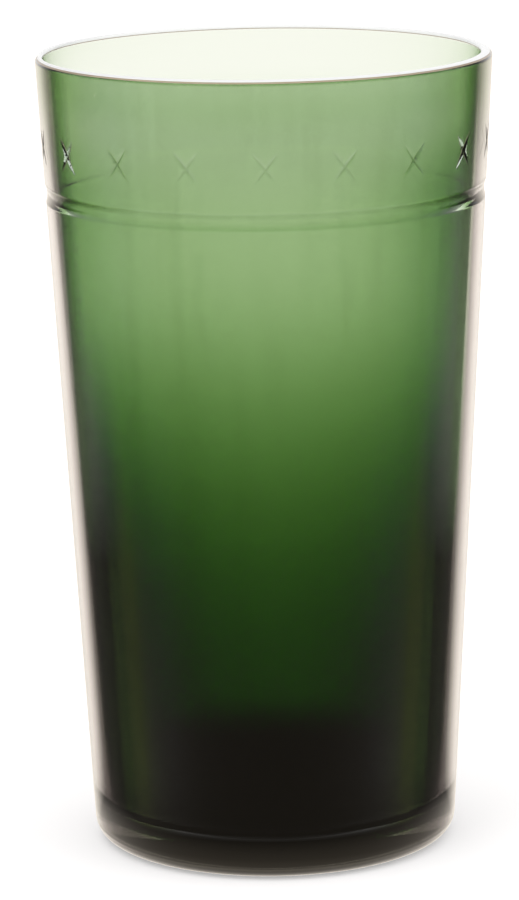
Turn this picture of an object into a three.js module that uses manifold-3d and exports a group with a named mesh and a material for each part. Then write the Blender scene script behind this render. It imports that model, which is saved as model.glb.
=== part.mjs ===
// A tapered glass tumbler in cased glass: a clear casing with a heavy foot over a green lining.
// The casing carries the fire-polished lip, a ring of wheel-cut crosses and one shallow cut band.
// Millimetres, +Z up. The origin is the middle of the foot, on the surface the tumbler stands on.

import * as THREE from 'three';
import { mergeVertices, toCreasedNormals } from 'three/addons/utils/BufferGeometryUtils.js';
import Module from 'manifold-3d';

// Overall form. The foot radius is that of the outer wall run down to the table.
const HEIGHT = 132.5;
const RIM_RADIUS = 37.5;
const FOOT_RADIUS = 30.27;
const HEEL_RADIUS = 3.6;
const REST_RING_WIDTH = 5.5;
const PUNT_DEPTH = 1.0;

// Clear casing. Both walls are measured level, at the table and at the rim.
const CASING_WALL_FOOT = 2.85;
const CASING_WALL_RIM = 1.85;
const CASING_FLOOR = 4.0;
const BOND_CORNER_RADIUS = 5.5;
const LIP_ROUNDING = 0.6;
const LIP_DEPTH = 0.6;
const LIP_FALL = 0.9;

// Green lining. It is thin down to the drop where it starts to swell, and full where the swell ends.
// Above the thinning drop it thins again towards the lip.
const LINING_WALL_FOOT = 2.5;
const LINING_WALL_RIM = 0.45;
const LINING_WALL_LIP = 0.3;
const SWELL_DROP = 30.5;
const SWELL_END_HEIGHT = 8;
const THINNING_DROP = 13.5;
const LINING_FLOOR = 6.2;
const CAVITY_CORNER_RADIUS = 7.5;
const BOND_CLEARANCE = 0.1;

// Cut decoration. Drops are measured down from the lip.
const CROSS_COUNT = 18;
const CROSS_DROP = 14.2;
const STROKE_LENGTH = 7.1;
const STROKE_DEPTH = 0.18;
const STROKE_LEAN = THREE.MathUtils.degToRad(38);
const MITRE_HALF_ANGLE = THREE.MathUtils.degToRad(72);
const MITRE_HALF_WIDTH = 1.0;
const BAND_DROP = 22.5;
const BAND_WIDTH = 3.0;
const BAND_DEPTH = 0.28;

// Facets.
const FACETS_PER_CROSS = 5;
const ROUND_FACETS = CROSS_COUNT * FACETS_PER_CROSS;
const WHEEL_FACETS = 288;
const CORNER_STEPS = 6;
const LIP_STEPS = 5;
const BAND_STEPS = 6;
const SWELL_STEPS = 8;
const THINNING_STEPS = 3;
const PUNT_STEPS = 3;
const CREASE_ANGLE = THREE.MathUtils.degToRad(16);

const RIGHT_ANGLE = Math.PI / 2;

const wasm = await Module();
wasm.setup();

// A straight conical wall surface, given by its radius at the table and at the rim.
function coneWall(radiusAtTable, radiusAtRim) {
  const slope = (radiusAtRim - radiusAtTable) / HEIGHT;
  return {
    lean: Math.atan(slope),
    radiusAt: (z) => radiusAtTable + slope * z,
  };
}

// The same surface moved inwards, square to itself.
function wallInside(radiusAtTable, radiusAtRim, gap) {
  const levelGap = gap / Math.cos(coneWall(radiusAtTable, radiusAtRim).lean);
  return coneWall(radiusAtTable - levelGap, radiusAtRim - levelGap);
}

// Profile points are (radius, height) pairs.
function arc(centre, radius, fromAngle, toAngle, steps) {
  return Array.from({ length: steps + 1 }, (_, i) => {
    const angle = fromAngle + ((toAngle - fromAngle) * i) / steps;
    return new THREE.Vector2(centre.x + radius * Math.cos(angle), centre.y + radius * Math.sin(angle));
  });
}

// The rounded corner that joins a level floor to a leaning wall.
function cornerArc(wall, floorHeight, radius) {
  const height = floorHeight + radius;
  const centre = new THREE.Vector2(wall.radiusAt(height) - radius / Math.cos(wall.lean), height);
  return arc(centre, radius, -RIGHT_ANGLE, -wall.lean, CORNER_STEPS);
}

// The inside or outside of a bowl, from the middle of its floor up to a given height.
function bowlProfile(wall, floorHeight, cornerRadius, topHeight, wallPoints = []) {
  return [
    new THREE.Vector2(0, floorHeight),
    ...cornerArc(wall, floorHeight, cornerRadius),
    ...wallPoints,
    new THREE.Vector2(wall.radiusAt(topHeight), topHeight),
  ];
}

// The underside: a shallow hollow and the flat ring that the tumbler rests on.
function undersideProfile(restRadius) {
  const hollowRadius = restRadius - REST_RING_WIDTH;
  const dome = (hollowRadius ** 2 + PUNT_DEPTH ** 2) / (2 * PUNT_DEPTH);
  const halfAngle = Math.asin(hollowRadius / dome);
  const centre = new THREE.Vector2(0, PUNT_DEPTH - dome);
  const hollow = arc(centre, dome, RIGHT_ANGLE, RIGHT_ANGLE - halfAngle, PUNT_STEPS);
  hollow[0].x = 0;
  return hollow;
}

// The shallow round band that a flat-edged wheel leaves around the wall.
function bandProfile(wall, height) {
  const halfWidth = BAND_WIDTH / 2;
  const radius = (halfWidth ** 2 + BAND_DEPTH ** 2) / (2 * BAND_DEPTH);
  const stand = radius - BAND_DEPTH;
  const centre = new THREE.Vector2(
    wall.radiusAt(height) + stand * Math.cos(wall.lean),
    height - stand * Math.sin(wall.lean),
  );
  const inwards = Math.PI - wall.lean;
  const halfAngle = Math.asin(halfWidth / radius);
  return arc(centre, radius, inwards + halfAngle, inwards - halfAngle, BAND_STEPS);
}

// The lip rises in a flat curve from the outer wall and rounds over to the ledge above the lining.
function lipProfile(outerWall, innerWall, ledgeHeight) {
  const edge = HEIGHT - LIP_FALL;
  const crest = innerWall.radiusAt(ledgeHeight) + LIP_ROUNDING;
  const reach = outerWall.radiusAt(edge) - crest;
  const turns = Array.from({ length: LIP_STEPS + 1 }, (_, i) => (RIGHT_ANGLE * i) / LIP_STEPS);
  const outside = turns.map((turn) => new THREE.Vector2(
    crest + reach * Math.cos(turn),
    edge + LIP_FALL * Math.sin(turn),
  ));
  const inside = turns.slice(1).map((turn) => new THREE.Vector2(
    crest - LIP_ROUNDING * Math.sin(turn),
    ledgeHeight + LIP_DEPTH * Math.cos(turn),
  ));
  return [...outside, ...inside];
}

// Turns a profile about the Z axis.
function turned(profile) {
  return new THREE.LatheGeometry(profile, ROUND_FACETS).rotateX(RIGHT_ANGLE);
}

// Shared corners are merged, and triangles that a point on the axis closes up are left out.
function solidOf(geometry) {
  const bare = geometry.clone();
  bare.deleteAttribute('normal');
  bare.deleteAttribute('uv');
  const merged = mergeVertices(bare, 1e-4);
  const corners = merged.index.array;
  const kept = [];
  for (let i = 0; i < corners.length; i += 3) {
    const [a, b, c] = corners.slice(i, i + 3);
    if (a !== b && b !== c && c !== a) kept.push(a, b, c);
  }
  return new wasm.Manifold(new wasm.Mesh({
    numProp: 3,
    vertProperties: new Float32Array(merged.attributes.position.array),
    triVerts: new Uint32Array(kept),
  }));
}

function geometryOf(solid) {
  const mesh = solid.getMesh();
  const geometry = new THREE.BufferGeometry();
  geometry.setAttribute('position', new THREE.BufferAttribute(mesh.vertProperties, 3));
  geometry.setIndex(new THREE.BufferAttribute(mesh.triVerts, 1));
  return geometry;
}

// The cutting wheel is as large as a stroke of this length and depth needs on the round wall.
function wheelRadius(wall, height) {
  const wallCurve = (Math.sin(STROKE_LEAN) ** 2 * Math.cos(wall.lean)) / wall.radiusAt(height);
  return 1 / ((8 * STROKE_DEPTH) / STROKE_LENGTH ** 2 - wallCurve);
}

function mitreWheel(radius) {
  const shoulder = radius - MITRE_HALF_WIDTH / Math.tan(MITRE_HALF_ANGLE);
  const profile = [
    new THREE.Vector2(0, -MITRE_HALF_WIDTH),
    new THREE.Vector2(shoulder, -MITRE_HALF_WIDTH),
    new THREE.Vector2(radius, 0),
    new THREE.Vector2(shoulder, MITRE_HALF_WIDTH),
    new THREE.Vector2(0, MITRE_HALF_WIDTH),
  ];
  return new THREE.LatheGeometry(profile, WHEEL_FACETS);
}

// Where the wheel stands for one stroke. The azimuth is counted from -Y.
function strokePlace(wall, height, azimuth, lean, radius) {
  const outwards = new THREE.Vector3(Math.sin(azimuth), -Math.cos(azimuth), 0);
  const around = new THREE.Vector3(Math.cos(azimuth), Math.sin(azimuth), 0);
  const up = new THREE.Vector3(0, 0, 1);
  const point = outwards.clone().multiplyScalar(wall.radiusAt(height)).addScaledVector(up, height);
  const normal = outwards.clone().multiplyScalar(Math.cos(wall.lean)).addScaledVector(up, -Math.sin(wall.lean));
  const rise = outwards.clone().multiplyScalar(Math.sin(wall.lean)).addScaledVector(up, Math.cos(wall.lean));
  const stroke = rise.multiplyScalar(Math.cos(lean)).addScaledVector(around, Math.sin(lean));
  const axle = new THREE.Vector3().crossVectors(stroke, normal);
  const centre = point.addScaledVector(normal, radius - STROKE_DEPTH);
  return new THREE.Matrix4().makeBasis(normal, axle, stroke).setPosition(centre);
}

function cutCrosses(body, wall) {
  const height = HEIGHT - CROSS_DROP;
  const radius = wheelRadius(wall, height);
  const wheel = mitreWheel(radius);
  let cut = body;
  for (let i = 0; i < CROSS_COUNT; i += 1) {
    const azimuth = (i * 2 * Math.PI) / CROSS_COUNT;
    for (const lean of [-STROKE_LEAN, STROKE_LEAN]) {
      const placed = wheel.clone().applyMatrix4(strokePlace(wall, height, azimuth, lean, radius));
      cut = cut.subtract(solidOf(placed));
    }
  }
  return cut;
}

const outerWall = coneWall(FOOT_RADIUS, RIM_RADIUS);
const bondAtTable = FOOT_RADIUS - CASING_WALL_FOOT;
const bondAtRim = RIM_RADIUS - CASING_WALL_RIM;
const bondWall = coneWall(bondAtTable, bondAtRim);
const liningWall = wallInside(bondAtTable, bondAtRim, BOND_CLEARANCE);
const cavityWall = {
  lean: liningWall.lean,
  radiusAt: (z) => liningWall.radiusAt(z) - liningThickness(z),
};
const ledgeHeight = HEIGHT - LIP_DEPTH;
const liningFloorHeight = CASING_FLOOR + BOND_CLEARANCE;
const cavityFloorHeight = liningFloorHeight + LINING_FLOOR;

function liningThickness(z) {
  const thinness = THREE.MathUtils.smoothstep(z, SWELL_END_HEIGHT, HEIGHT - SWELL_DROP);
  const wall = THREE.MathUtils.lerp(LINING_WALL_FOOT, LINING_WALL_RIM, thinness);
  const lipShare = THREE.MathUtils.smoothstep(z, HEIGHT - THINNING_DROP, HEIGHT);
  return wall + (LINING_WALL_LIP - LINING_WALL_RIM) * lipShare;
}

// A stretch of the inner wall, from just above one height up to another.
function cavityStretch(low, high, steps) {
  return Array.from({ length: steps }, (_, i) => {
    const z = THREE.MathUtils.lerp(low, high, (i + 1) / steps);
    return new THREE.Vector2(cavityWall.radiusAt(z), z);
  });
}

// The inner wall from the top of the floor's corner through the swell to the thinning below the lip.
function cavityWallPoints(top) {
  const corner = cavityFloorHeight + CAVITY_CORNER_RADIUS;
  const swell = HEIGHT - SWELL_DROP;
  const thinning = HEIGHT - THINNING_DROP;
  const upper = cavityStretch(thinning, top, THINNING_STEPS).slice(0, -1);
  return [
    ...cavityStretch(corner, swell, SWELL_STEPS),
    ...cavityStretch(swell, thinning, 1),
    ...upper,
  ];
}

function casingGeometry() {
  const heel = cornerArc(outerWall, 0, HEEL_RADIUS);
  const profile = [
    ...undersideProfile(heel[0].x),
    ...heel,
    ...bandProfile(outerWall, HEIGHT - BAND_DROP),
    ...lipProfile(outerWall, cavityWall, ledgeHeight),
    ...bowlProfile(bondWall, CASING_FLOOR, BOND_CORNER_RADIUS, ledgeHeight).reverse(),
  ];
  return toCreasedNormals(geometryOf(cutCrosses(solidOf(turned(profile)), outerWall)), CREASE_ANGLE);
}

function liningGeometry() {
  const top = ledgeHeight - BOND_CLEARANCE;
  const cornerRadius = BOND_CORNER_RADIUS - BOND_CLEARANCE;
  const outside = bowlProfile(liningWall, liningFloorHeight, cornerRadius, top);
  const inside = bowlProfile(cavityWall, cavityFloorHeight, CAVITY_CORNER_RADIUS, top, cavityWallPoints(top));
  return toCreasedNormals(turned([...outside, ...inside.reverse()]), CREASE_ANGLE);
}

const clearGlass = new THREE.MeshStandardMaterial({
  color: 0xf1f4ec,
  roughness: 0.02,
  metalness: 0,
  transparent: true,
  opacity: 0.3,
});
const greenGlass = new THREE.MeshStandardMaterial({
  color: 0x5f7f45,
  roughness: 0.02,
  metalness: 0,
  transparent: true,
  opacity: 0.6,
});

const casing = new THREE.Mesh(casingGeometry(), clearGlass);
casing.name = 'clear_casing';
const lining = new THREE.Mesh(liningGeometry(), greenGlass);
lining.name = 'green_lining';

const tumbler = new THREE.Group();
tumbler.name = 'tumbler';
tumbler.add(casing, lining);

export default tumbler;
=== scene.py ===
"""A tapered tumbler in cased glass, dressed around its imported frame.

The clear casing and the green lining are turned afresh as smooth glass, with the lip, the heel,
the cut band and the wheel-cut crosses in their meshes. Lengths are in metres and +Z is up.
"""

import logging
import math
from dataclasses import dataclass, field
from enum import Enum, IntEnum

import bpy
from mathutils import Matrix, Vector


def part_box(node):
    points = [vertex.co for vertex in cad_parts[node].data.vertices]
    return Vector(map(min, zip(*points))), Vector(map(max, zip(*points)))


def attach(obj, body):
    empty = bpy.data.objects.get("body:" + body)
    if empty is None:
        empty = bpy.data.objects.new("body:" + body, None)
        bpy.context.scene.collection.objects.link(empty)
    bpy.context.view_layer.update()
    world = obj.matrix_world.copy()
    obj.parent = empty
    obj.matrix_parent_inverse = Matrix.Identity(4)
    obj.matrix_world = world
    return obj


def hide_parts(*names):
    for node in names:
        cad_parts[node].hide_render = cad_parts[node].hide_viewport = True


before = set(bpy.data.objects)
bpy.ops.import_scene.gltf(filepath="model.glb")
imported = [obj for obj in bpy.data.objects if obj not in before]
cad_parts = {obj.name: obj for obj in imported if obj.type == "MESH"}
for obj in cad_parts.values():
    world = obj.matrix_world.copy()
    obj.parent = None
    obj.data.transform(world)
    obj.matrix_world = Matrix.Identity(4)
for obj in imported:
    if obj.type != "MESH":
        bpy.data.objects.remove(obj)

LOG = logging.getLogger("tumbler")
MM = 0.001
QUARTER_TURN = math.pi / 2
FULL_TURN = 2 * math.pi
SMOOTH_ANGLE = math.radians(20)
GLASS_INDEX = 1.5
FUSED_INDEX = 1.0
BLACK = (0.0, 0.0, 0.0)
WHITE = (1.0, 1.0, 1.0)
INNER_TINT = (1.0, 1.0, 0.86)

# What keeps a place's X and Y and drops its height.
ACROSS = (1.0, 1.0, 0.0)

# The Layer Weight node's blend at which facing is one less the cosine of the slant.
EVEN_BLEND = 0.5

# The Mix node's two inputs and its output for each kind of value. Their names are all alike.
MIX_SOCKETS = {"FLOAT": (2, 3, 0), "VECTOR": (4, 5, 1), "RGBA": (6, 7, 2)}

Outline = list[Vector]
Colour = tuple[float, float, float]
Rgba = tuple[float, float, float, float]
Tones = tuple[tuple[float, Colour], ...]
Piece = bpy.types.Object
Glass = bpy.types.Material
Tree = bpy.types.NodeTree
Node = bpy.types.Node
Socket = bpy.types.NodeSocket
Operand = Socket | float | Colour | Rgba


class Side(Enum):
    """Which way a cross's stroke leans, seen from outside."""

    LEFT = -1
    RIGHT = 1


class Slot(Enum):
    """The record's material slots."""

    CLEAR = "clear_glass"
    GREEN = "green_glass"


class Zone(IntEnum):
    """The casing's own material slots, in their order."""

    WALL = 0
    INNER = 1
    FUSED = 2
    LIP = 3
    LIP_EDGE = 4


def deselect() -> None:
    """Leave nothing selected and no object in edit mode."""
    if bpy.context.object and bpy.context.object.mode != "OBJECT":
        bpy.ops.object.mode_set(mode="OBJECT")
    bpy.ops.object.select_all(action="DESELECT")


def arc(centre: Vector, radius: float, start: float, end: float, steps: int) -> Outline:
    """Draw a round stretch of an outline.

    Args:
        centre: The arc's centre, as radius and height.
        radius: The arc's radius.
        start: The angle that it starts at, from the outward direction.
        end: The angle that it ends at.
        steps: The number of straight pieces.

    Returns:
        The points from start to end.
    """
    turns = [start + (end - start) * i / steps for i in range(steps + 1)]
    return [centre + radius * Vector((math.cos(turn), math.sin(turn))) for turn in turns]


def smoothstep(value: float, low: float, high: float) -> float:
    """Ease from nought at the low end to one at the high end."""
    share = min(max((value - low) / (high - low), 0.0), 1.0)
    return share * share * (3 - 2 * share)


def smooth(piece: Piece) -> None:
    """Smooth a piece's faces and keep its sharp edges.

    Args:
        piece: The piece.
    """
    deselect()
    piece.select_set(True)
    bpy.context.view_layer.objects.active = piece
    bpy.ops.object.shade_smooth_by_angle(angle=SMOOTH_ANGLE)


@dataclass(frozen=True)
class Wall:
    """A straight leaning wall surface, given by its radius at the table and at the rim."""

    foot: float
    rim: float
    height: float

    @property
    def slope(self) -> float:
        """How far the wall moves out for each unit of height."""
        return (self.rim - self.foot) / self.height

    @property
    def lean(self) -> float:
        """The wall's angle from upright."""
        return math.atan(self.slope)

    def radius(self, z: float) -> float:
        """The wall's radius at a height."""
        return self.foot + self.slope * z

    def point(self, z: float) -> Vector:
        """The wall's outline point at a height."""
        return Vector((self.radius(z), z))

    def corner(self, floor: float, radius: float, steps: int) -> Outline:
        """Round the wall into a level floor.

        Args:
            floor: The floor's height.
            radius: The rounding's radius.
            steps: The number of straight pieces.

        Returns:
            The points from the floor up to the wall.
        """
        height = floor + radius
        centre = Vector((self.radius(height) - radius / math.cos(self.lean), height))
        return arc(centre, radius, -QUARTER_TURN, -self.lean, steps)


@dataclass(frozen=True)
class GlassForm:
    """The tumbler's sizes. The height comes from the frame, and a drop is measured down from it."""

    height: float
    rim_radius: float = 37.5 * MM
    foot_radius: float = 30.27 * MM
    heel_radius: float = 3.6 * MM
    rest_ring_width: float = 5.5 * MM
    punt_depth: float = 1.0 * MM
    casing_foot: float = 2.85 * MM
    casing_rim: float = 1.85 * MM
    casing_floor: float = 4.0 * MM
    bond_corner: float = 5.5 * MM
    bond_clearance: float = 0.1 * MM
    lip_rounding: float = 0.6 * MM
    lip_depth: float = 0.6 * MM
    lip_fall: float = 0.9 * MM
    lining_foot: float = 2.5 * MM
    lining_rim: float = 0.45 * MM
    lining_lip: float = 0.05 * MM
    thinning_drop: float = 26.5 * MM
    thin_drop: float = 6.5 * MM
    swell_drop: float = 30.5 * MM
    swell_end: float = 8.0 * MM
    lining_floor: float = 6.2 * MM
    cavity_corner: float = 7.5 * MM
    left_thinning: float = 0.70 * MM
    left_heights: tuple[float, float] = (30.0 * MM, 68.0 * MM)
    left_depths: tuple[float, float] = (0.25, 0.75)

    @property
    def outer(self) -> Wall:
        """The casing's outer wall."""
        return Wall(self.foot_radius, self.rim_radius, self.height)

    @property
    def bond(self) -> Wall:
        """The casing's inner wall, where the lining meets it."""
        foot = self.foot_radius - self.casing_foot
        return Wall(foot, self.rim_radius - self.casing_rim, self.height)

    @property
    def lining(self) -> Wall:
        """The lining's outer wall."""
        gap = self.bond_clearance / math.cos(self.bond.lean)
        return Wall(self.bond.foot - gap, self.bond.rim - gap, self.height)

    @property
    def ledge(self) -> float:
        """The height of the casing's underside above the lining."""
        return self.height - self.lip_depth

    @property
    def cavity_floor(self) -> float:
        """The height of the bowl's floor."""
        return self.casing_floor + self.bond_clearance + self.lining_floor

    @property
    def crest(self) -> float:
        """The radius of the lip's crest."""
        return self.cavity_point(self.ledge).x + self.lip_rounding

    def thickness(self, z: float) -> float:
        """Work out the lining's level thickness.

        Args:
            z: The height.

        Returns:
            The thickness there.
        """
        thinness = smoothstep(z, self.swell_end, self.height - self.swell_drop)
        wall = self.lining_foot + (self.lining_rim - self.lining_foot) * thinness
        lip_share = smoothstep(z, self.height - self.thinning_drop, self.height - self.thin_drop)
        return wall + (self.lining_lip - self.lining_rim) * lip_share

    def cavity_point(self, z: float) -> Vector:
        """The bowl's outline point at a height."""
        return Vector((self.lining.radius(z) - self.thickness(z), z))

    def thin_left(self, piece: Piece) -> None:
        """Move what lies inside the casing's wall outwards on the left, where the gather is thin.

        Args:
            piece: The casing or the lining.
        """
        for vertex in piece.data.vertices:
            place = vertex.co
            spread = math.hypot(place.x, place.y)
            if place.x < 0 and spread > 0:
                outside = self.outer.radius(place.z)
                depth = (outside - spread) / (outside - self.bond.radius(place.z))
                inner_share = smoothstep(depth, *self.left_depths)
                height_share = smoothstep(place.z, *self.left_heights)
                left_share = (place.x / spread) ** 2
                place.x -= self.left_thinning * (inner_share * height_share) * left_share


@dataclass(frozen=True)
class CrossCut:
    """The ring of wheel-cut crosses.

    The wedge that cuts a stroke is taller than the stroke is deep and runs past its ends.
    """

    count: int = 18
    drop: float = 14.2 * MM
    stroke_length: float = 7.1 * MM
    stroke_depth: float = 0.18 * MM
    lean: float = math.radians(38)
    mitre_half_angle: float = math.radians(72)
    wedge_height: float = 0.35 * MM
    run_past: float = 1.25
    steps: int = 24


@dataclass(frozen=True)
class BandCut:
    """The shallow round-bottomed band cut round the wall."""

    drop: float = 22.5 * MM
    width: float = 3.0 * MM
    depth: float = 0.28 * MM
    steps: int = 16


@dataclass
class Lathe:
    """Turns an outline about the tumbler's axis."""

    steps: int = 360
    weld: float = 1e-6

    def turn(self, name: str, outline: Outline) -> Piece:
        """Extrude an outline from one vertex and spin it a full turn.

        Args:
            name: The new piece's name.
            outline: Points as radius and height, from the axis to the axis.

        Returns:
            The closed turned piece.
        """
        deselect()
        bpy.ops.mesh.primitive_plane_add(size=MM)
        piece = bpy.context.object
        piece.name = name
        piece.data.name = name
        bpy.ops.object.mode_set(mode="EDIT")
        bpy.ops.mesh.merge(type="CENTER")
        bpy.ops.transform.translate(value=(outline[0].x, 0, outline[0].y))
        for here, there in zip(outline, outline[1:]):
            step = there - here
            move = {"value": (step.x, 0, step.y)}
            bpy.ops.mesh.extrude_vertices_move(TRANSFORM_OT_translate=move)
        bpy.ops.mesh.select_all(action="SELECT")
        bpy.ops.mesh.spin(steps=self.steps, angle=FULL_TURN, center=(0, 0, 0), axis=(0, 0, 1))
        bpy.ops.mesh.select_all(action="SELECT")
        bpy.ops.mesh.remove_doubles(threshold=self.weld)
        bpy.ops.mesh.normals_make_consistent(inside=False)
        bpy.ops.object.mode_set(mode="OBJECT")
        return piece


@dataclass
class Casing:
    """The clear outer layer with its lip, heel, foot and cuts.

    A hold is the short step to a row that keeps the smoothing of a rounding off the straight wall.
    The lip is painted tan from its edge's rise up to the highlight rise, as a painted shade line,
    and white above that, as a painted highlight.
    """

    form: GlassForm
    crosses: CrossCut = field(default_factory=CrossCut)
    band: BandCut = field(default_factory=BandCut)
    node: str = "clear_casing"
    name: str = "casing_glass"
    corner_steps: int = 18
    lip_steps: int = 14
    punt_steps: int = 12
    hold: float = 0.15 * MM
    cell: float = 0.65 * MM
    fused_top: float = 6.0 * MM
    edge_rise: float = 0.42 * MM
    highlight_rise: float = 0.60 * MM
    inner_edge: float = 0.15 * MM
    tolerance: float = 0.02 * MM

    @property
    def cross_height(self) -> float:
        """The height of the crosses' middles."""
        return self.form.height - self.crosses.drop

    @property
    def wheel_radius(self) -> float:
        """The wheel's radius, from the stroke's length and depth and the wall's own curve."""
        wall = self.form.outer
        cut = self.crosses
        curve = math.sin(cut.lean) ** 2 * math.cos(wall.lean) / wall.radius(self.cross_height)
        return 1 / (8 * cut.stroke_depth / cut.stroke_length**2 - curve)

    def underside(self, rest_radius: float) -> Outline:
        """Draw the hollow under the foot.

        Args:
            rest_radius: The outer radius of the ring that the foot stands on.

        Returns:
            The points from the axis to the ring.
        """
        edge = rest_radius - self.form.rest_ring_width
        depth = self.form.punt_depth
        dome = (edge**2 + depth**2) / (2 * depth)
        end = QUARTER_TURN - math.asin(edge / dome)
        hollow = arc(Vector((0, depth - dome)), dome, QUARTER_TURN, end, self.punt_steps)
        hollow[0].x = 0
        return hollow

    def band_outline(self) -> Outline:
        """Draw the cut band.

        Returns:
            The points from its lower edge to its upper edge.
        """
        wall = self.form.outer
        height = self.form.height - self.band.drop
        half_width = self.band.width / 2
        radius = (half_width**2 + self.band.depth**2) / (2 * self.band.depth)
        stand = radius - self.band.depth
        centre = wall.point(height) + stand * Vector((math.cos(wall.lean), -math.sin(wall.lean)))
        inwards = math.pi - wall.lean
        half_angle = math.asin(half_width / radius)
        return arc(centre, radius, inwards + half_angle, inwards - half_angle, self.band.steps)

    def cross_rows(self) -> Outline:
        """Set close rows on the wall where the crosses are cut.

        Returns:
            The rows' points, upwards.
        """
        wall = self.form.outer
        middle = self.cross_height
        reach = self.crosses.stroke_length * math.cos(self.crosses.lean) / 2 + self.cell
        rows = round(2 * reach / self.cell)
        return [wall.point(middle - reach + 2 * reach * i / rows) for i in range(rows + 1)]

    def lip(self) -> Outline:
        """Draw the lip over its crest.

        Returns:
            The points from the outer wall to the ledge above the lining.
        """
        form = self.form
        edge = form.height - form.lip_fall
        crest = form.crest
        reach = form.outer.radius(edge) - crest
        turns = [QUARTER_TURN * i / self.lip_steps for i in range(self.lip_steps + 1)]
        outside = [
            Vector((crest + reach * math.cos(turn), edge + form.lip_fall * math.sin(turn)))
            for turn in turns
        ]
        inside = [
            Vector(
                (
                    crest - form.lip_rounding * math.sin(turn),
                    form.ledge + form.lip_depth * math.cos(turn),
                )
            )
            for turn in turns[1:]
        ]
        return [*outside, *inside]

    def inside(self) -> Outline:
        """Draw the wall that the lining lies against.

        Returns:
            The points from the ledge down to the middle of the floor.
        """
        form = self.form
        corner = form.bond.corner(form.casing_floor, form.bond_corner, self.corner_steps)
        above = form.bond.point(corner[-1].y + self.hold)
        rising = [Vector((0, form.casing_floor)), *corner, above, form.bond.point(form.ledge)]
        return rising[::-1]

    def outline(self) -> Outline:
        """Draw the whole outline.

        Returns:
            The points from the middle of the underside round to the middle of the floor.
        """
        wall = self.form.outer
        heel = wall.corner(0, self.form.heel_radius, self.corner_steps)
        band = self.band_outline()
        lip = self.lip()
        return [
            *self.underside(heel[0].x),
            heel[0] - Vector((self.hold, 0)),
            *heel,
            wall.point(heel[-1].y + self.hold),
            wall.point(band[0].y - self.hold),
            *band,
            wall.point(band[-1].y + self.hold),
            *self.cross_rows(),
            wall.point(lip[0].y - self.hold),
            *lip,
            *self.inside(),
        ]

    def stroke_cutter(self) -> Piece:
        """Model the stretch of the mitre wheel's edge that enters the glass.

        Returns:
            A wedge bent about the Y axis, with its edge furthest out at -X.
        """
        cut = self.crosses
        radius = self.wheel_radius
        back = cut.wedge_height - radius
        half_width = cut.wedge_height * math.tan(cut.mitre_half_angle)
        half_angle = cut.run_past * math.asin(cut.stroke_length / 2 / radius)
        deselect()
        bpy.ops.mesh.primitive_circle_add(vertices=3, radius=MM, fill_type="NGON")
        wedge = bpy.context.object
        wedge.name = "stroke_cutter"
        edge = [(-radius, 0), (back, half_width), (back, -half_width)]
        for vertex, (out, along) in zip(wedge.data.vertices, edge):
            vertex.co = Matrix.Rotation(half_angle, 3, "Y") @ Vector((out, along, 0))
        bpy.ops.object.mode_set(mode="EDIT")
        bpy.ops.mesh.select_all(action="SELECT")
        bpy.ops.mesh.spin(steps=cut.steps, angle=2 * half_angle, center=(0, 0, 0), axis=(0, 1, 0))
        bpy.ops.mesh.select_all(action="SELECT")
        bpy.ops.mesh.normals_make_consistent(inside=False)
        bpy.ops.object.mode_set(mode="OBJECT")
        return wedge

    def stroke_place(self, azimuth: float, side: Side) -> Matrix:
        """Place the wheel for one stroke.

        Args:
            azimuth: The cross's place round the wall, from -Y.
            side: Which way the stroke leans.

        Returns:
            The matrix from the cutter's own frame to the tumbler's.
        """
        wall = self.form.outer
        height = self.cross_height
        outwards = Vector((math.sin(azimuth), -math.cos(azimuth), 0))
        around = Vector((math.cos(azimuth), math.sin(azimuth), 0))
        up = Vector((0, 0, 1))
        point = wall.radius(height) * outwards + height * up
        normal = math.cos(wall.lean) * outwards - math.sin(wall.lean) * up
        rise = math.sin(wall.lean) * outwards + math.cos(wall.lean) * up
        lean = side.value * self.crosses.lean
        stroke = math.cos(lean) * rise + math.sin(lean) * around
        axle = stroke.cross(normal)
        centre = point + (self.wheel_radius - self.crosses.stroke_depth) * normal
        turn = Matrix((normal, axle, stroke)).transposed()
        return Matrix.LocRotScale(centre, turn.to_quaternion(), None)

    def cut_crosses(self, piece: Piece) -> None:
        """Cut every stroke out of the wall, one leaning set after the other.

        Args:
            piece: The casing.
        """
        count = self.crosses.count
        master = self.stroke_cutter()
        for side in Side:
            copies = []
            for i in range(count):
                copy = master.copy()
                copy.data = master.data.copy()
                copy.data.transform(self.stroke_place(FULL_TURN * i / count, side))
                bpy.context.collection.objects.link(copy)
                copies.append(copy)
            deselect()
            for copy in copies:
                copy.select_set(True)
            bpy.context.view_layer.objects.active = copies[0]
            bpy.ops.object.join()
            cutter = bpy.context.object
            bpy.context.view_layer.objects.active = piece
            cut = piece.modifiers.new(f"strokes_{side.name.lower()}", "BOOLEAN")
            cut.operation = "DIFFERENCE"
            cut.solver = "MANIFOLD"
            cut.object = cutter
            bpy.ops.object.modifier_apply(modifier=cut.name)
            bpy.data.objects.remove(cutter)
        bpy.data.objects.remove(master)

    def build(self) -> Piece:
        """Turn the casing, cut the crosses and smooth the glass.

        Returns:
            The finished casing.
        """
        piece = Lathe().turn(self.name, self.outline())
        self.cut_crosses(piece)
        piece.data.materials.clear()
        smooth(piece)
        return piece

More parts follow.
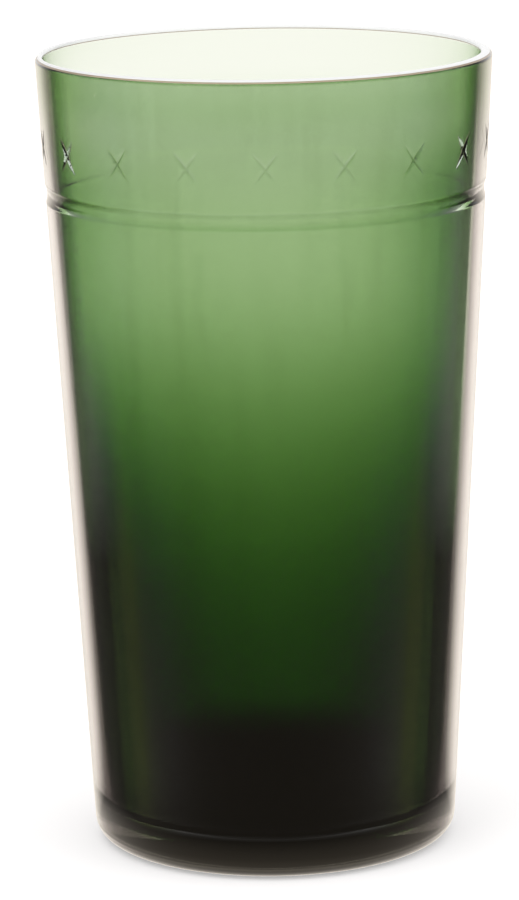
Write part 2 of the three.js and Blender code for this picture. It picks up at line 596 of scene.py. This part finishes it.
    def zone_of(self, place: Vector) -> Zone:
        """Tell which part of the casing's surface a point on it belongs to.

        Args:
            place: The point.

        Returns:
            Its zone.
        """
        form = self.form
        spread = math.hypot(place.x, place.y)
        rise = place.z - (form.height - form.lip_fall)
        # Above the lip's edge, faces take the lip's painted highlight or its edge's painted shade
        # line.
        if rise > 0:
            if spread < form.crest:
                within_edge = place.z < form.ledge + self.inner_edge
                return Zone.LIP_EDGE if within_edge else Zone.LIP
            if rise > self.highlight_rise:
                return Zone.LIP
            return Zone.LIP_EDGE if rise > self.edge_rise else Zone.WALL
        above_floor = place.z > form.casing_floor - self.tolerance
        within = spread < form.bond.radius(place.z) + self.tolerance
        if not (above_floor and within):
            return Zone.WALL
        return Zone.FUSED if place.z < self.fused_top else Zone.INNER

    def dress(self, piece: Piece) -> None:
        """Give the casing its kinds of glass, and each face the one of its zone.

        Args:
            piece: The casing.
        """
        for glass in (
            WallGlass(self.form.outer).build(),
            clear_material("inner_glass", GLASS_INDEX, tint=INNER_TINT),
            clear_material("fused_glass", FUSED_INDEX),
            PAINTED_HIGHLIGHT_LIP.build(),
            PAINTED_SHADE_LIP_EDGE.build(),
        ):
            piece.data.materials.append(glass)
        for face in piece.data.polygons:
            face.material_index = self.zone_of(face.center).value


@dataclass
class Lining:
    """The green inner layer, which swells towards the foot.

    Its right side varies, as in hand-gathered glass. The drift is what the right side gains, and
    no more than a share of its thickness. Between the low and the high heights it loses more.
    """

    form: GlassForm
    node: str = "green_lining"
    name: str = "lining_glass"
    corner_steps: int = 18
    swell_steps: int = 48
    lip_rows: int = 24
    hold: float = 0.15 * MM
    drift: float = 0.11 * MM
    drift_share: float = 0.25
    side_thinning: float = 0.34 * MM
    side_low: tuple[float, float] = (26.0 * MM, 50.0 * MM)
    side_high: tuple[float, float] = (62.0 * MM, 110.0 * MM)
    tolerance: float = 0.02 * MM

    def outside(self, top: float) -> Outline:
        """Draw the face against the casing.

        Args:
            top: The height of the lining's top.

        Returns:
            The points from the middle of the floor up to the top.
        """
        form = self.form
        floor = form.casing_floor + form.bond_clearance
        rounding = form.bond_corner - form.bond_clearance
        corner = form.lining.corner(floor, rounding, self.corner_steps)
        above = form.lining.point(corner[-1].y + self.hold)
        return [Vector((0, floor)), *corner, above, form.lining.point(top)]

    def inside(self, top: float) -> Outline:
        """Draw the bowl's own wall.

        Args:
            top: The height of the lining's top.

        Returns:
            The points from the middle of the bowl's floor up to the top.
        """
        form = self.form
        full = form.thickness(form.cavity_floor + form.cavity_corner)
        cavity = Wall(form.lining.foot - full, form.lining.rim - full, form.height)
        corner = cavity.corner(form.cavity_floor, form.cavity_corner, self.corner_steps)
        low = corner[-1].y
        high = form.height - form.swell_drop
        rows = [low + (high - low) * (i + 1) / self.swell_steps for i in range(self.swell_steps)]
        swell = [form.cavity_point(z) for z in rows]
        start = form.height - form.thinning_drop
        rise = (top - start) / self.lip_rows
        thinning = [form.cavity_point(start + rise * i) for i in range(self.lip_rows + 1)]
        return [Vector((0, form.cavity_floor)), *corner, *swell, *thinning]

    def build(self) -> Piece:
        """Turn the lining and smooth it.

        Returns:
            The finished lining.
        """
        top = self.form.ledge - self.form.bond_clearance
        piece = Lathe().turn(self.name, [*self.outside(top), *self.inside(top)[::-1]])
        self.shift_bowl(piece)
        smooth(piece)
        return piece

    def dress(self, piece: Piece) -> None:
        """Give the lining its green glass."""
        piece.data.materials.append(GreenGlass().build())

    def shift_bowl(self, piece: Piece) -> None:
        """Thin the bowl's wall on the right at middle height, and thicken it a little elsewhere.

        Args:
            piece: The lining.
        """
        form = self.form
        for vertex in piece.data.vertices:
            place = vertex.co
            spread = math.hypot(place.x, place.y)
            above_floor = place.z > form.cavity_floor - self.tolerance
            if above_floor and spread < form.lining.radius(place.z) - self.tolerance:
                right_share = (max(place.x, 0.0) / max(spread, self.tolerance)) ** 2
                above = smoothstep(place.z, *self.side_low)
                thinning = self.side_thinning * (above * (1 - smoothstep(place.z, *self.side_high)))
                drift = min(self.drift, self.drift_share * form.thickness(place.z))
                place.x += right_share * (thinning - drift)


def opaque(colour: Colour) -> Rgba:
    """A colour with its alpha."""
    return (*colour, 1.0)


def let_through(shares: Colour) -> Rgba:
    """Square the shares of light, because a Principled glass lets its colour's root through."""
    return (*(share**2 for share in shares), 1.0)


def feed(tree: Tree, value: Operand, socket: Socket) -> None:
    """Link a socket to a node's output, or set a plain value on it.

    Args:
        tree: The node tree.
        value: The output or the plain value.
        socket: The socket that takes it.
    """
    if isinstance(value, Socket):
        tree.links.new(value, socket)
    else:
        socket.default_value = value


def node_at(tree: Tree, kind: str, **values: Operand) -> Node:
    """Add a shader node and feed its sockets by name.

    Args:
        tree: The node tree.
        kind: The node's type.
        **values: Socket names, with underscores for spaces, and what they take.

    Returns:
        The new node.
    """
    node = tree.nodes.new(kind)
    for name, value in values.items():
        feed(tree, value, node.inputs[name.replace("_", " ")])
    return node


def operate(tree: Tree, kind: str, operation: str, *operands: Operand) -> Node:
    """Add a node that works something out.

    Args:
        tree: The node tree.
        kind: The node's type.
        operation: What it does.
        *operands: What it works on, in the order of its sockets.

    Returns:
        The new node.
    """
    node = tree.nodes.new(kind)
    node.operation = operation
    for operand, socket in zip(operands, node.inputs):
        feed(tree, operand, socket)
    return node


def number(tree: Tree, operation: str, *operands: Operand) -> Socket:
    """Work out a number."""
    return operate(tree, "ShaderNodeMath", operation, *operands).outputs["Value"]


def vector(tree: Tree, operation: str, *operands: Operand) -> Socket:
    """Work out a vector."""
    return operate(tree, "ShaderNodeVectorMath", operation, *operands).outputs["Vector"]


def length(tree: Tree, way: Socket) -> Socket:
    """Work out a vector's length."""
    return operate(tree, "ShaderNodeVectorMath", "LENGTH", way).outputs["Value"]


def split(tree: Tree, way: Socket) -> Node:
    """Split a vector into its X, Y and Z."""
    return node_at(tree, "ShaderNodeSeparateXYZ", Vector=way)


def tone_ramp(tree: Tree, tones: Tones, slant: Socket) -> Socket:
    """Make a colour ramp from shares of light.

    Args:
        tree: The node tree.
        tones: Places along the ramp with their shares of red, green and blue light.
        slant: What the ramp follows.

    Returns:
        The colour.
    """
    ramp = node_at(tree, "ShaderNodeValToRGB", Fac=slant)
    elements = ramp.color_ramp.elements
    elements.remove(elements[-1])
    elements[0].position = tones[0][0]
    for place, _ in tones[1:]:
        elements.new(place)
    for element, (_, shares) in zip(elements, tones):
        element.color = let_through(shares)
    return ramp.outputs["Color"]


def eased(
    tree: Tree, value: Socket, low: float, high: float, start: Operand = 0.0, end: float = 1.0
) -> Socket:
    """Ease from one level to another.

    Args:
        tree: The node tree.
        value: What is eased.
        low: The value where the first level ends.
        high: The value where the second level starts.
        start: The first level.
        end: The second level.

    Returns:
        The eased level.
    """
    ease = node_at(tree, "ShaderNodeMapRange", Value=value, From_Min=low, From_Max=high)
    ease.interpolation_type = "SMOOTHSTEP"
    feed(tree, start, ease.inputs["To Min"])
    feed(tree, end, ease.inputs["To Max"])
    return ease.outputs["Result"]


def blend(
    tree: Tree, share: Operand, low: Operand, high: Operand, kind: str = "RGBA", way: str = "MIX"
) -> Socket:
    """Blend two colours, vectors or numbers.

    Args:
        tree: The node tree.
        share: The second one's share.
        low: The first one.
        high: The second one.
        kind: What they are, as the Mix node calls it.
        way: How colours are blended.

    Returns:
        The blend.
    """
    first, second, mixed = MIX_SOCKETS[kind]
    node = node_at(tree, "ShaderNodeMix", Factor=share)
    node.data_type = kind
    node.blend_type = way
    feed(tree, low, node.inputs[first])
    feed(tree, high, node.inputs[second])
    return node.outputs[mixed]


def clear_material(name: str, index: float, mirror: Colour = BLACK, tint: Colour = WHITE) -> Glass:
    """Make a polished glass.

    Args:
        name: The material's name.
        index: Its refractive index.
        mirror: The tint of its reflection seen face on. At a slant it mirrors fully.
        tint: The light that two crossings of its face let through.

    Returns:
        The glass.
    """
    material = bpy.data.materials.new(name)
    material.use_nodes = True
    glass = material.node_tree.nodes["Principled BSDF"]
    glass.inputs["Base Color"].default_value = opaque(tint)
    glass.inputs["Roughness"].default_value = 0.0
    glass.inputs["IOR"].default_value = index
    glass.inputs["Specular Tint"].default_value = opaque(mirror)
    glass.inputs["Transmission Weight"].default_value = 1.0
    return material


@dataclass(frozen=True)
class WallGlass:
    """The casing's outer face, which greys towards the inner edge of its side strips.

    Its colour is the glass's green together with painted shade, set by slant: the shade darkens
    the lower body and the foot, and greys the side strips towards their inner edge.
    The tones are the shares of light let in at each slant, as the Layer Weight node's facing value.
    Upwards, the foot's tones give way to the low ones between the heel and the foot heights, and
    these to the high ones between low and high. The brow's tones come in below the lip.
    """

    wall: Wall
    name: str = "clear_glass"
    mirror: Colour = (0.55, 0.50, 0.40)
    cut_start: float = 0.01 * MM
    cut_full: float = 0.16 * MM
    # Painted shade in the wheel cuts, by slant.
    cut_painted_shade_tones: Tones = (
        (0.25, (0.88, 0.90, 0.86)),
        (0.45, (0.50, 0.58, 0.42)),
        (0.60, (0.30, 0.36, 0.25)),
        (0.80, (0.62, 0.64, 0.58)),
        (0.90, (1.0, 1.0, 1.0)),
    )
    cut_low: float = 110.0 * MM
    cut_fade: float = 1.0 * MM
    cross_low: float = 114.0 * MM
    cross_top: float = 123.0 * MM
    cross_fade: float = 0.16 * MM
    cut_softness: float = 0.12
    far_softness: float = 0.92
    streak_stretch: tuple[float, float, float] = (260.0, 260.0, 9.0)
    streak_scale: float = 1.0
    streak_detail: float = 3.0
    streak_range: tuple[float, float] = (0.45, 0.75)
    streak_tint: Colour = (0.93, 0.94, 0.91)
    seed_scale: float = 150.0
    seed_core: float = 0.0125
    seed_radius: float = 0.025
    seed_tint: Colour = (0.62, 0.66, 0.58)
    coat_index: float = 1.2
    foot: float = 22.0 * MM
    heel: float = 5.0 * MM
    low: float = 50.0 * MM
    high: float = 95.0 * MM
    brow_start: float = 105.0 * MM
    brow_end: float = 129.0 * MM
    brow_tones: Tones = (
        (0.15, (0.46, 0.58, 0.40)),
        (0.25, (0.42, 0.54, 0.36)),
        (0.37, (0.37, 0.48, 0.31)),
        (0.45, (0.36, 0.47, 0.30)),
    )
    # Painted shade by slant: the foot, the green body and the strips' inner edges darken.
    foot_painted_shade_tones: Tones = (
        (0.50, (0.04, 0.036, 0.028)),
        (0.60, (0.07, 0.055, 0.05)),
        (0.685, (0.16, 0.13, 0.12)),
        (0.76, (0.34, 0.29, 0.27)),
        (0.83, (0.72, 0.65, 0.61)),
        (0.90, (1.0, 1.0, 1.0)),
    )
    strip_painted_shade_tones: Tones = (
        (0.70, (0.44, 0.39, 0.34)),
        (0.75, (0.68, 0.60, 0.55)),
        (0.79, (0.82, 0.73, 0.68)),
        (0.84, (1.0, 0.89, 0.84)),
        (0.88, (1.0, 1.0, 1.0)),
    )
    high_green_and_painted_shade_tones: Tones = (
        (0.0, (0.97, 1.0, 1.0)),
        (0.15, (0.96, 0.99, 1.0)),
        (0.28, (0.94, 0.98, 1.0)),
        (0.40, (0.90, 0.98, 0.90)),
        (0.50, (0.82, 0.96, 0.72)),
        (0.58, (0.42, 0.63, 0.30)),
        (0.645, (0.22, 0.33, 0.16)),
        (0.67, (0.50, 0.50, 0.38)),
    )
    low_green_and_painted_shade_tones: Tones = (
        (0.20, (1.0, 1.0, 1.0)),
        (0.33, (0.80, 1.0, 0.34)),
        (0.41, (0.26, 0.42, 0.13)),
        (0.48, (0.05, 0.07, 0.03)),
        (0.58, (0.02, 0.025, 0.015)),
        (0.62, (0.045, 0.04, 0.03)),
        (0.66, (0.17, 0.145, 0.125)),
    )

    def cut_painted_shade_mask(self, tree: Tree, flat: Socket, height: Socket) -> Socket:
        """Find the wheel cuts by their depth under the leaning wall, where their painted shade
        goes.

        Args:
            tree: The node tree.
            flat: The place on the glass, without its height.
            height: The place's height.

        Returns:
            Nought on the plain wall and one in the cuts.
        """
        full = number(tree, "MULTIPLY_ADD", height, self.wall.slope, self.wall.foot)
        depth = number(tree, "SUBTRACT", full, length(tree, flat))
        cut = eased(tree, depth, self.cut_start, self.cut_full)
        above = eased(tree, height, self.cut_low, self.cut_low + self.cut_fade)
        return number(tree, "MULTIPLY", cut, above)

    def softened_normal(self, tree: Tree, flat: Socket, height: Socket, sides: Node) -> Socket:
        """Soften the crosses towards the plain wall, as polishing does, most on the far side.

        Args:
            tree: The node tree.
            flat: The place on the glass, without its height.
            height: The place's height.
            sides: The Geometry node.

        Returns:
            The normal.
        """
        far = sides.outputs["Backfacing"]
        outwards = vector(tree, "NORMALIZE", flat)
        leaning = vector(tree, "ADD", outwards, (0.0, 0.0, -self.wall.slope))
        plain = vector(tree, "MULTIPLY", leaning, eased(tree, far, 0.0, 1.0, 1.0, -1.0))
        softness = eased(tree, far, 0.0, 1.0, self.cut_softness, self.far_softness)
        above = eased(tree, height, self.cross_low, self.cross_low + self.cross_fade)
        below = eased(tree, height, self.cross_top, self.cross_top + self.cross_fade, 1.0, 0.0)
        share = number(tree, "MULTIPLY", softness, number(tree, "MULTIPLY", above, below))
        softened = blend(tree, share, sides.outputs["Normal"], plain, "VECTOR")
        return vector(tree, "NORMALIZE", softened)

    def marks(self, tree: Tree, place: Socket, colour: Socket) -> Socket:
        """Add faint drawn-out streaks and a few seeds.

        Args:
            tree: The node tree.
            place: The place on the glass.
            colour: The glass's colour.

        Returns:
            The colour with its marks.
        """
        stretch = node_at(tree, "ShaderNodeMapping", Vector=place, Scale=self.streak_stretch)
        streaks = node_at(
            tree,
            "ShaderNodeTexNoise",
            Vector=stretch.outputs["Vector"],
            Scale=self.streak_scale,
            Detail=self.streak_detail,
        )
        share = eased(tree, streaks.outputs["Fac"], *self.streak_range)
        streaked = blend(tree, share, colour, let_through(self.streak_tint), way="MULTIPLY")
        cells = node_at(tree, "ShaderNodeTexVoronoi", Vector=place, Scale=self.seed_scale)
        seeds = eased(tree, cells.outputs["Distance"], self.seed_core, self.seed_radius)
        return blend(tree, seeds, let_through(self.seed_tint), streaked)

    def build(self) -> Glass:
        """Make the material.

        Returns:
            The outer wall's glass.
        """
        material = clear_material(self.name, GLASS_INDEX, self.mirror)
        tree = material.node_tree
        glass = tree.nodes["Principled BSDF"]
        slant = node_at(tree, "ShaderNodeLayerWeight", Blend=EVEN_BLEND).outputs["Facing"]
        place = node_at(tree, "ShaderNodeTexCoord").outputs["Object"]
        flat = vector(tree, "MULTIPLY", place, ACROSS)
        height = split(tree, place).outputs["Z"]
        # Painted shade by slant at the foot, in the green body and towards the strips' inner edges.
        foot = tone_ramp(tree, self.foot_painted_shade_tones, slant)
        low = tone_ramp(tree, self.low_green_and_painted_shade_tones + self.strip_painted_shade_tones, slant)
        high = tone_ramp(tree, self.high_green_and_painted_shade_tones + self.strip_painted_shade_tones, slant)
        body = blend(tree, eased(tree, height, self.low, self.high), low, high)
        whole = blend(tree, eased(tree, height, self.heel, self.foot), foot, body)
        brow_share = eased(tree, height, self.brow_start, self.brow_end)
        brow = blend(tree, brow_share, opaque(WHITE), tone_ramp(tree, self.brow_tones, slant))
        tinted = blend(tree, 1.0, whole, brow, way="MULTIPLY")
        # Painted shade in the wheel cuts, darker than the plain wall at the same slant.
        cut_tone = tone_ramp(tree, self.cut_painted_shade_tones, slant)
        cut_painted_shade_mask = self.cut_painted_shade_mask(tree, flat, height)
        marked = self.marks(tree, place, blend(tree, cut_painted_shade_mask, tinted, cut_tone, way="MULTIPLY"))
        sides = node_at(tree, "ShaderNodeNewGeometry")
        # The painted tones tint only what enters from outside.
        entry = blend(tree, sides.outputs["Backfacing"], marked, opaque(WHITE))
        feed(tree, entry, glass.inputs["Base Color"])
        feed(tree, self.softened_normal(tree, flat, height, sides), glass.inputs["Normal"])
        glass.inputs["Coat Weight"].default_value = 1.0
        glass.inputs["Coat Roughness"].default_value = 0.0
        glass.inputs["Coat IOR"].default_value = self.coat_index
        return material


@dataclass(frozen=True)
class LipGlass:
    """The fire-polished lip, painted white as a highlight, or tan as a shade line at its edge, and
    only partly clear.
    """

    name: str
    tint: Colour
    clearness: float

    def build(self) -> Glass:
        """Make the material.

        Returns:
            The lip's glass.
        """
        material = clear_material(self.name, GLASS_INDEX, tint=self.tint)
        glass = material.node_tree.nodes["Principled BSDF"]
        glass.inputs["Transmission Weight"].default_value = self.clearness
        return material


# The lip's white is a painted highlight, and its edge's tan a painted shade line.
PAINTED_HIGHLIGHT_LIP = LipGlass(name="lip_painted_highlight", tint=WHITE, clearness=0.10)
PAINTED_SHADE_LIP_EDGE = LipGlass(name="lip_edge_painted_shade", tint=(0.52, 0.42, 0.32), clearness=0.25)


@dataclass(frozen=True)
class GreenGlass:
    """Moss green glass that darkens with its depth. It only absorbs, so it bends no light."""

    name: str = "green_glass"
    density: float = 2000.0
    tint: Colour = (0.40, 0.60, 0.25)

    def build(self) -> Glass:
        """Make the material.

        Returns:
            The green glass.
        """
        material = clear_material(self.name, FUSED_INDEX, mirror=WHITE)
        tree = material.node_tree
        tree.nodes["Principled BSDF"].inputs["Specular IOR Level"].default_value = 0.0
        depth = node_at(
            tree, "ShaderNodeVolumeAbsorption", Color=opaque(self.tint), Density=self.density
        )
        feed(tree, depth.outputs["Volume"], tree.nodes["Material Output"].inputs["Volume"])
        return material


def glow(tree: Tree, colour: Colour, strength: Socket) -> Socket:
    """Make a surface that glows."""
    return node_at(tree, "ShaderNodeEmission", Color=opaque(colour), Strength=strength).outputs[0]


def choose(tree: Tree, share: Socket, low: Socket, high: Socket) -> Socket:
    """Mix two surfaces.

    Args:
        tree: The node tree.
        share: The second surface's share.
        low: The first surface.
        high: The second surface.

    Returns:
        The mixed surface.
    """
    mix = node_at(tree, "ShaderNodeMixShader", Fac=share)
    feed(tree, low, mix.inputs[1])
    feed(tree, high, mix.inputs[2])
    return mix.outputs[0]


@dataclass(frozen=True)
class Lamp:
    """A soft square lamp that points at the tumbler."""

    name: str
    place: tuple[float, float, float]
    size: float
    watts: float

    def hang(self) -> None:
        """Hang the lamp in its place."""
        place = Vector(self.place)
        deselect()
        bpy.ops.object.light_add(type="AREA", location=place)
        lamp = bpy.context.object
        lamp.name = self.name
        lamp.data.size = self.size
        lamp.data.energy = self.watts
        lamp.rotation_euler = (-place).to_track_quat("-Z", "Y").to_euler()


@dataclass(frozen=True)
class Studio:
    """A pale floor, a white surround and soft lamps.

    The front, side and back values say what the outside of the glass mirrors. The mirror's side
    and front shift the place from which the floor's mirrored direction is taken to the foot.
    """

    floor_size: float = 12.0
    floor_colour: Colour = (0.92, 0.90, 0.895)
    floor_lift: float = 0.34
    surround_level: float = 0.85
    front_level: float = 0.28
    side_level: float = 0.12
    room_front: float = -0.75
    room_side: float = 0.0
    front_edge: float = 0.66
    back_edge: float = 0.93
    mirrored_colour: Colour = (1.0, 0.92, 0.82)
    mirror_side: float = 28.5 * MM
    mirror_front: float = 9.0 * MM
    # Between these radii a painted pool of light by the foot fades out in the glass's reflection.
    near_inner: float = 32.0 * MM
    near_outer: float = 54.0 * MM
    painted_foot_shadow: float = 0.02
    shade_inner: float = 28.0 * MM
    shade_outer: float = 38.0 * MM
    table_gap: float = 0.02 * MM
    lamps: tuple[Lamp, ...] = (
        Lamp("key_lamp", (-0.6, -0.5, 1.2), size=0.9, watts=3.0),
        Lamp("fill_lamp", (0.8, -0.3, 1.0), size=0.9, watts=2.0),
    )

    def seen_share(self, tree: Tree) -> Socket:
        """Tell what is seen straight on, through the glass or mirrored in it.

        Args:
            tree: The node tree.

        Returns:
            One for what is seen so, else nought.
        """
        path = node_at(tree, "ShaderNodeLightPath")
        seen = path.outputs["Is Camera Ray"]
        for kind in ("Is Glossy Ray", "Is Transmission Ray"):
            seen = number(tree, "MAXIMUM", seen, path.outputs[kind])
        return seen

    def mirror_share(self, tree: Tree) -> Socket:
        """Tell what is mirrored on the outside of the glass.

        Args:
            tree: The node tree.

        Returns:
            One for what is mirrored so, else nought.
        """
        path = node_at(tree, "ShaderNodeLightPath").outputs
        share = number(tree, "SUBTRACT", path["Is Glossy Ray"], path["Is Transmission Ray"])
        share.node.use_clamp = True
        return share

    def room_level(self, tree: Tree, way: Socket) -> Socket:
        """How bright the room is in the glass: dim in front, darker beside, white behind.

        Args:
            tree: The node tree.
            way: How far the mirrored direction points away from the viewer's side.

        Returns:
            The level.
        """
        beside = eased(
            tree, way, self.room_front, self.room_side, self.front_level, self.side_level
        )
        return eased(tree, way, self.front_edge, self.back_edge, beside)

    def surround(self) -> None:
        """Light the scene evenly from all round, with white behind."""
        world = bpy.data.worlds.new("surround")
        bpy.context.scene.world = world
        world.use_nodes = True
        tree = world.node_tree
        tree.nodes.clear()
        way = node_at(tree, "ShaderNodeTexCoord").outputs["Generated"]
        room = self.room_level(tree, split(tree, way).outputs["Y"])
        seen = blend(tree, self.mirror_share(tree), 1.0, room, "FLOAT")
        level = blend(tree, self.seen_share(tree), self.surround_level, seen, "FLOAT")
        white = node_at(tree, "ShaderNodeBackground", Color=opaque(WHITE), Strength=level)
        node_at(tree, "ShaderNodeOutputWorld", Surface=white.outputs["Background"])

    def mirrored_level(self, tree: Tree, spread: Socket, place: Socket) -> Socket:
        """How bright the floor glows in the glass's reflection: bright close by and behind, dim in
        front.

        Args:
            tree: The node tree.
            spread: How far the place on the floor is from the tumbler's axis.
            place: The place on the floor.

        Returns:
            The level.
        """
        parts = split(tree, place)
        aside = number(tree, "ABSOLUTE", parts.outputs["X"])
        offset = node_at(
            tree,
            "ShaderNodeCombineXYZ",
            X=number(tree, "SUBTRACT", aside, self.mirror_side),
            Y=number(tree, "ADD", parts.outputs["Y"], self.mirror_front),
        )
        way = split(tree, vector(tree, "NORMALIZE", offset.outputs["Vector"]))
        behind = self.room_level(tree, way.outputs["Y"])
        # Close by the foot the floor glows fully for mirrored rays only: a painted pool of light.
        near = eased(tree, spread, self.near_inner, self.near_outer, 1.0, 0.0)
        return number(tree, "MAXIMUM", behind, near)

    def floor_material(self) -> bpy.types.Material:
        """Make the pale floor. The glass mirrors it, with a painted pool of light by the foot, and
        through the glass it shows a painted shadow under the foot.

        Returns:
            The floor's material.
        """
        material = bpy.data.materials.new("pale_floor")
        material.use_nodes = True
        tree = material.node_tree
        tree.nodes.clear()
        path = node_at(tree, "ShaderNodeLightPath").outputs
        matt = node_at(tree, "ShaderNodeBsdfDiffuse", Color=opaque(self.floor_colour))
        lift = glow(tree, WHITE, number(tree, "MULTIPLY", path["Is Camera Ray"], self.floor_lift))
        lit = node_at(tree, "ShaderNodeAddShader")
        feed(tree, matt.outputs["BSDF"], lit.inputs[0])
        feed(tree, lift, lit.inputs[1])
        place = node_at(tree, "ShaderNodeTexCoord").outputs["Object"]
        spread = length(tree, place)
        # Through the glass the floor glows dark under the foot: a painted shadow.
        shade = eased(tree, spread, self.shade_inner, self.shade_outer, self.painted_foot_shadow)
        mirrored = glow(tree, self.mirrored_colour, self.mirrored_level(tree, spread, place))
        glossy = choose(tree, path["Is Glossy Ray"], lit.outputs[0], mirrored)
        through = choose(tree, path["Is Transmission Ray"], glossy, glow(tree, WHITE, shade))
        node_at(tree, "ShaderNodeOutputMaterial", Surface=through)
        return material

    def floor(self) -> Piece:
        """Lay the floor, which keeps the tumbler's shadow.

        Returns:
            The floor.
        """
        deselect()
        bpy.ops.mesh.primitive_plane_add(size=self.floor_size, location=(0, 0, -self.table_gap))
        floor = bpy.context.object
        floor.name = "floor"
        floor.data.materials.append(self.floor_material())
        return floor


@dataclass(frozen=True)
class Viewpoint:
    """The photograph's camera, worked out from the rim and foot ellipses and the outline."""

    distance: float = 0.7499
    elevation: float = 0.21263
    roll: float = -0.01607
    aim: tuple[float, float] = (-1.71 * MM, 65.64 * MM)
    fitted_height: float = 132.23 * MM
    focal_pixels: float = 4493.0
    image_height: int = 900
    sensor_height: float = 36.0
    far_clip: float = 100.0

    def place(self) -> bpy.types.Object:
        """Set the camera up.

        Returns:
            The camera.
        """
        deselect()
        bpy.ops.object.camera_add()
        camera = bpy.context.object
        camera.name = "camera"
        camera.data.sensor_fit = "VERTICAL"
        camera.data.sensor_height = self.sensor_height
        camera.data.lens = self.sensor_height * self.focal_pixels / self.image_height
        camera.data.clip_end = self.far_clip
        back = self.distance * math.cos(self.elevation)
        rise = self.fitted_height / 2 + self.distance * math.sin(self.elevation)
        place = Vector((0, -back, rise))
        sight = (Vector((self.aim[0], 0, self.aim[1])) - place).normalized()
        right = sight.cross(Vector((0, 0, 1))).normalized()
        up = right.cross(sight)
        turned_right = math.cos(self.roll) * right + math.sin(self.roll) * up
        turned_up = math.cos(self.roll) * up - math.sin(self.roll) * right
        turn = Matrix((turned_right, turned_up, -sight)).transposed()
        camera.matrix_world = Matrix.LocRotScale(place, turn.to_quaternion(), None)
        bpy.context.scene.camera = camera
        return camera


def main() -> None:
    """Build the tumbler and its studio."""
    logging.basicConfig(level=logging.INFO)
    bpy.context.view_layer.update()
    bpy.context.scene.view_settings.view_transform = "Standard"
    Viewpoint().place()
    form = GlassForm(height=float(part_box("clear_casing")[1].z))

    shell = Casing(form)
    casing = shell.build()
    shell.dress(casing)
    form.thin_left(casing)
    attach(casing, "root")
    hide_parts(shell.node)
    LOG.info("%s: %d faces", casing.name, len(casing.data.polygons))

    layer = Lining(form)
    lining = layer.build()
    form.thin_left(lining)
    layer.dress(lining)
    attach(lining, "root")
    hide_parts(layer.node)
    LOG.info("%s: %d faces", lining.name, len(lining.data.polygons))

    studio = Studio()
    studio.surround()
    studio.floor()
    for lamp in studio.lamps:
        lamp.hang()


if __name__ == "__main__":
    main()
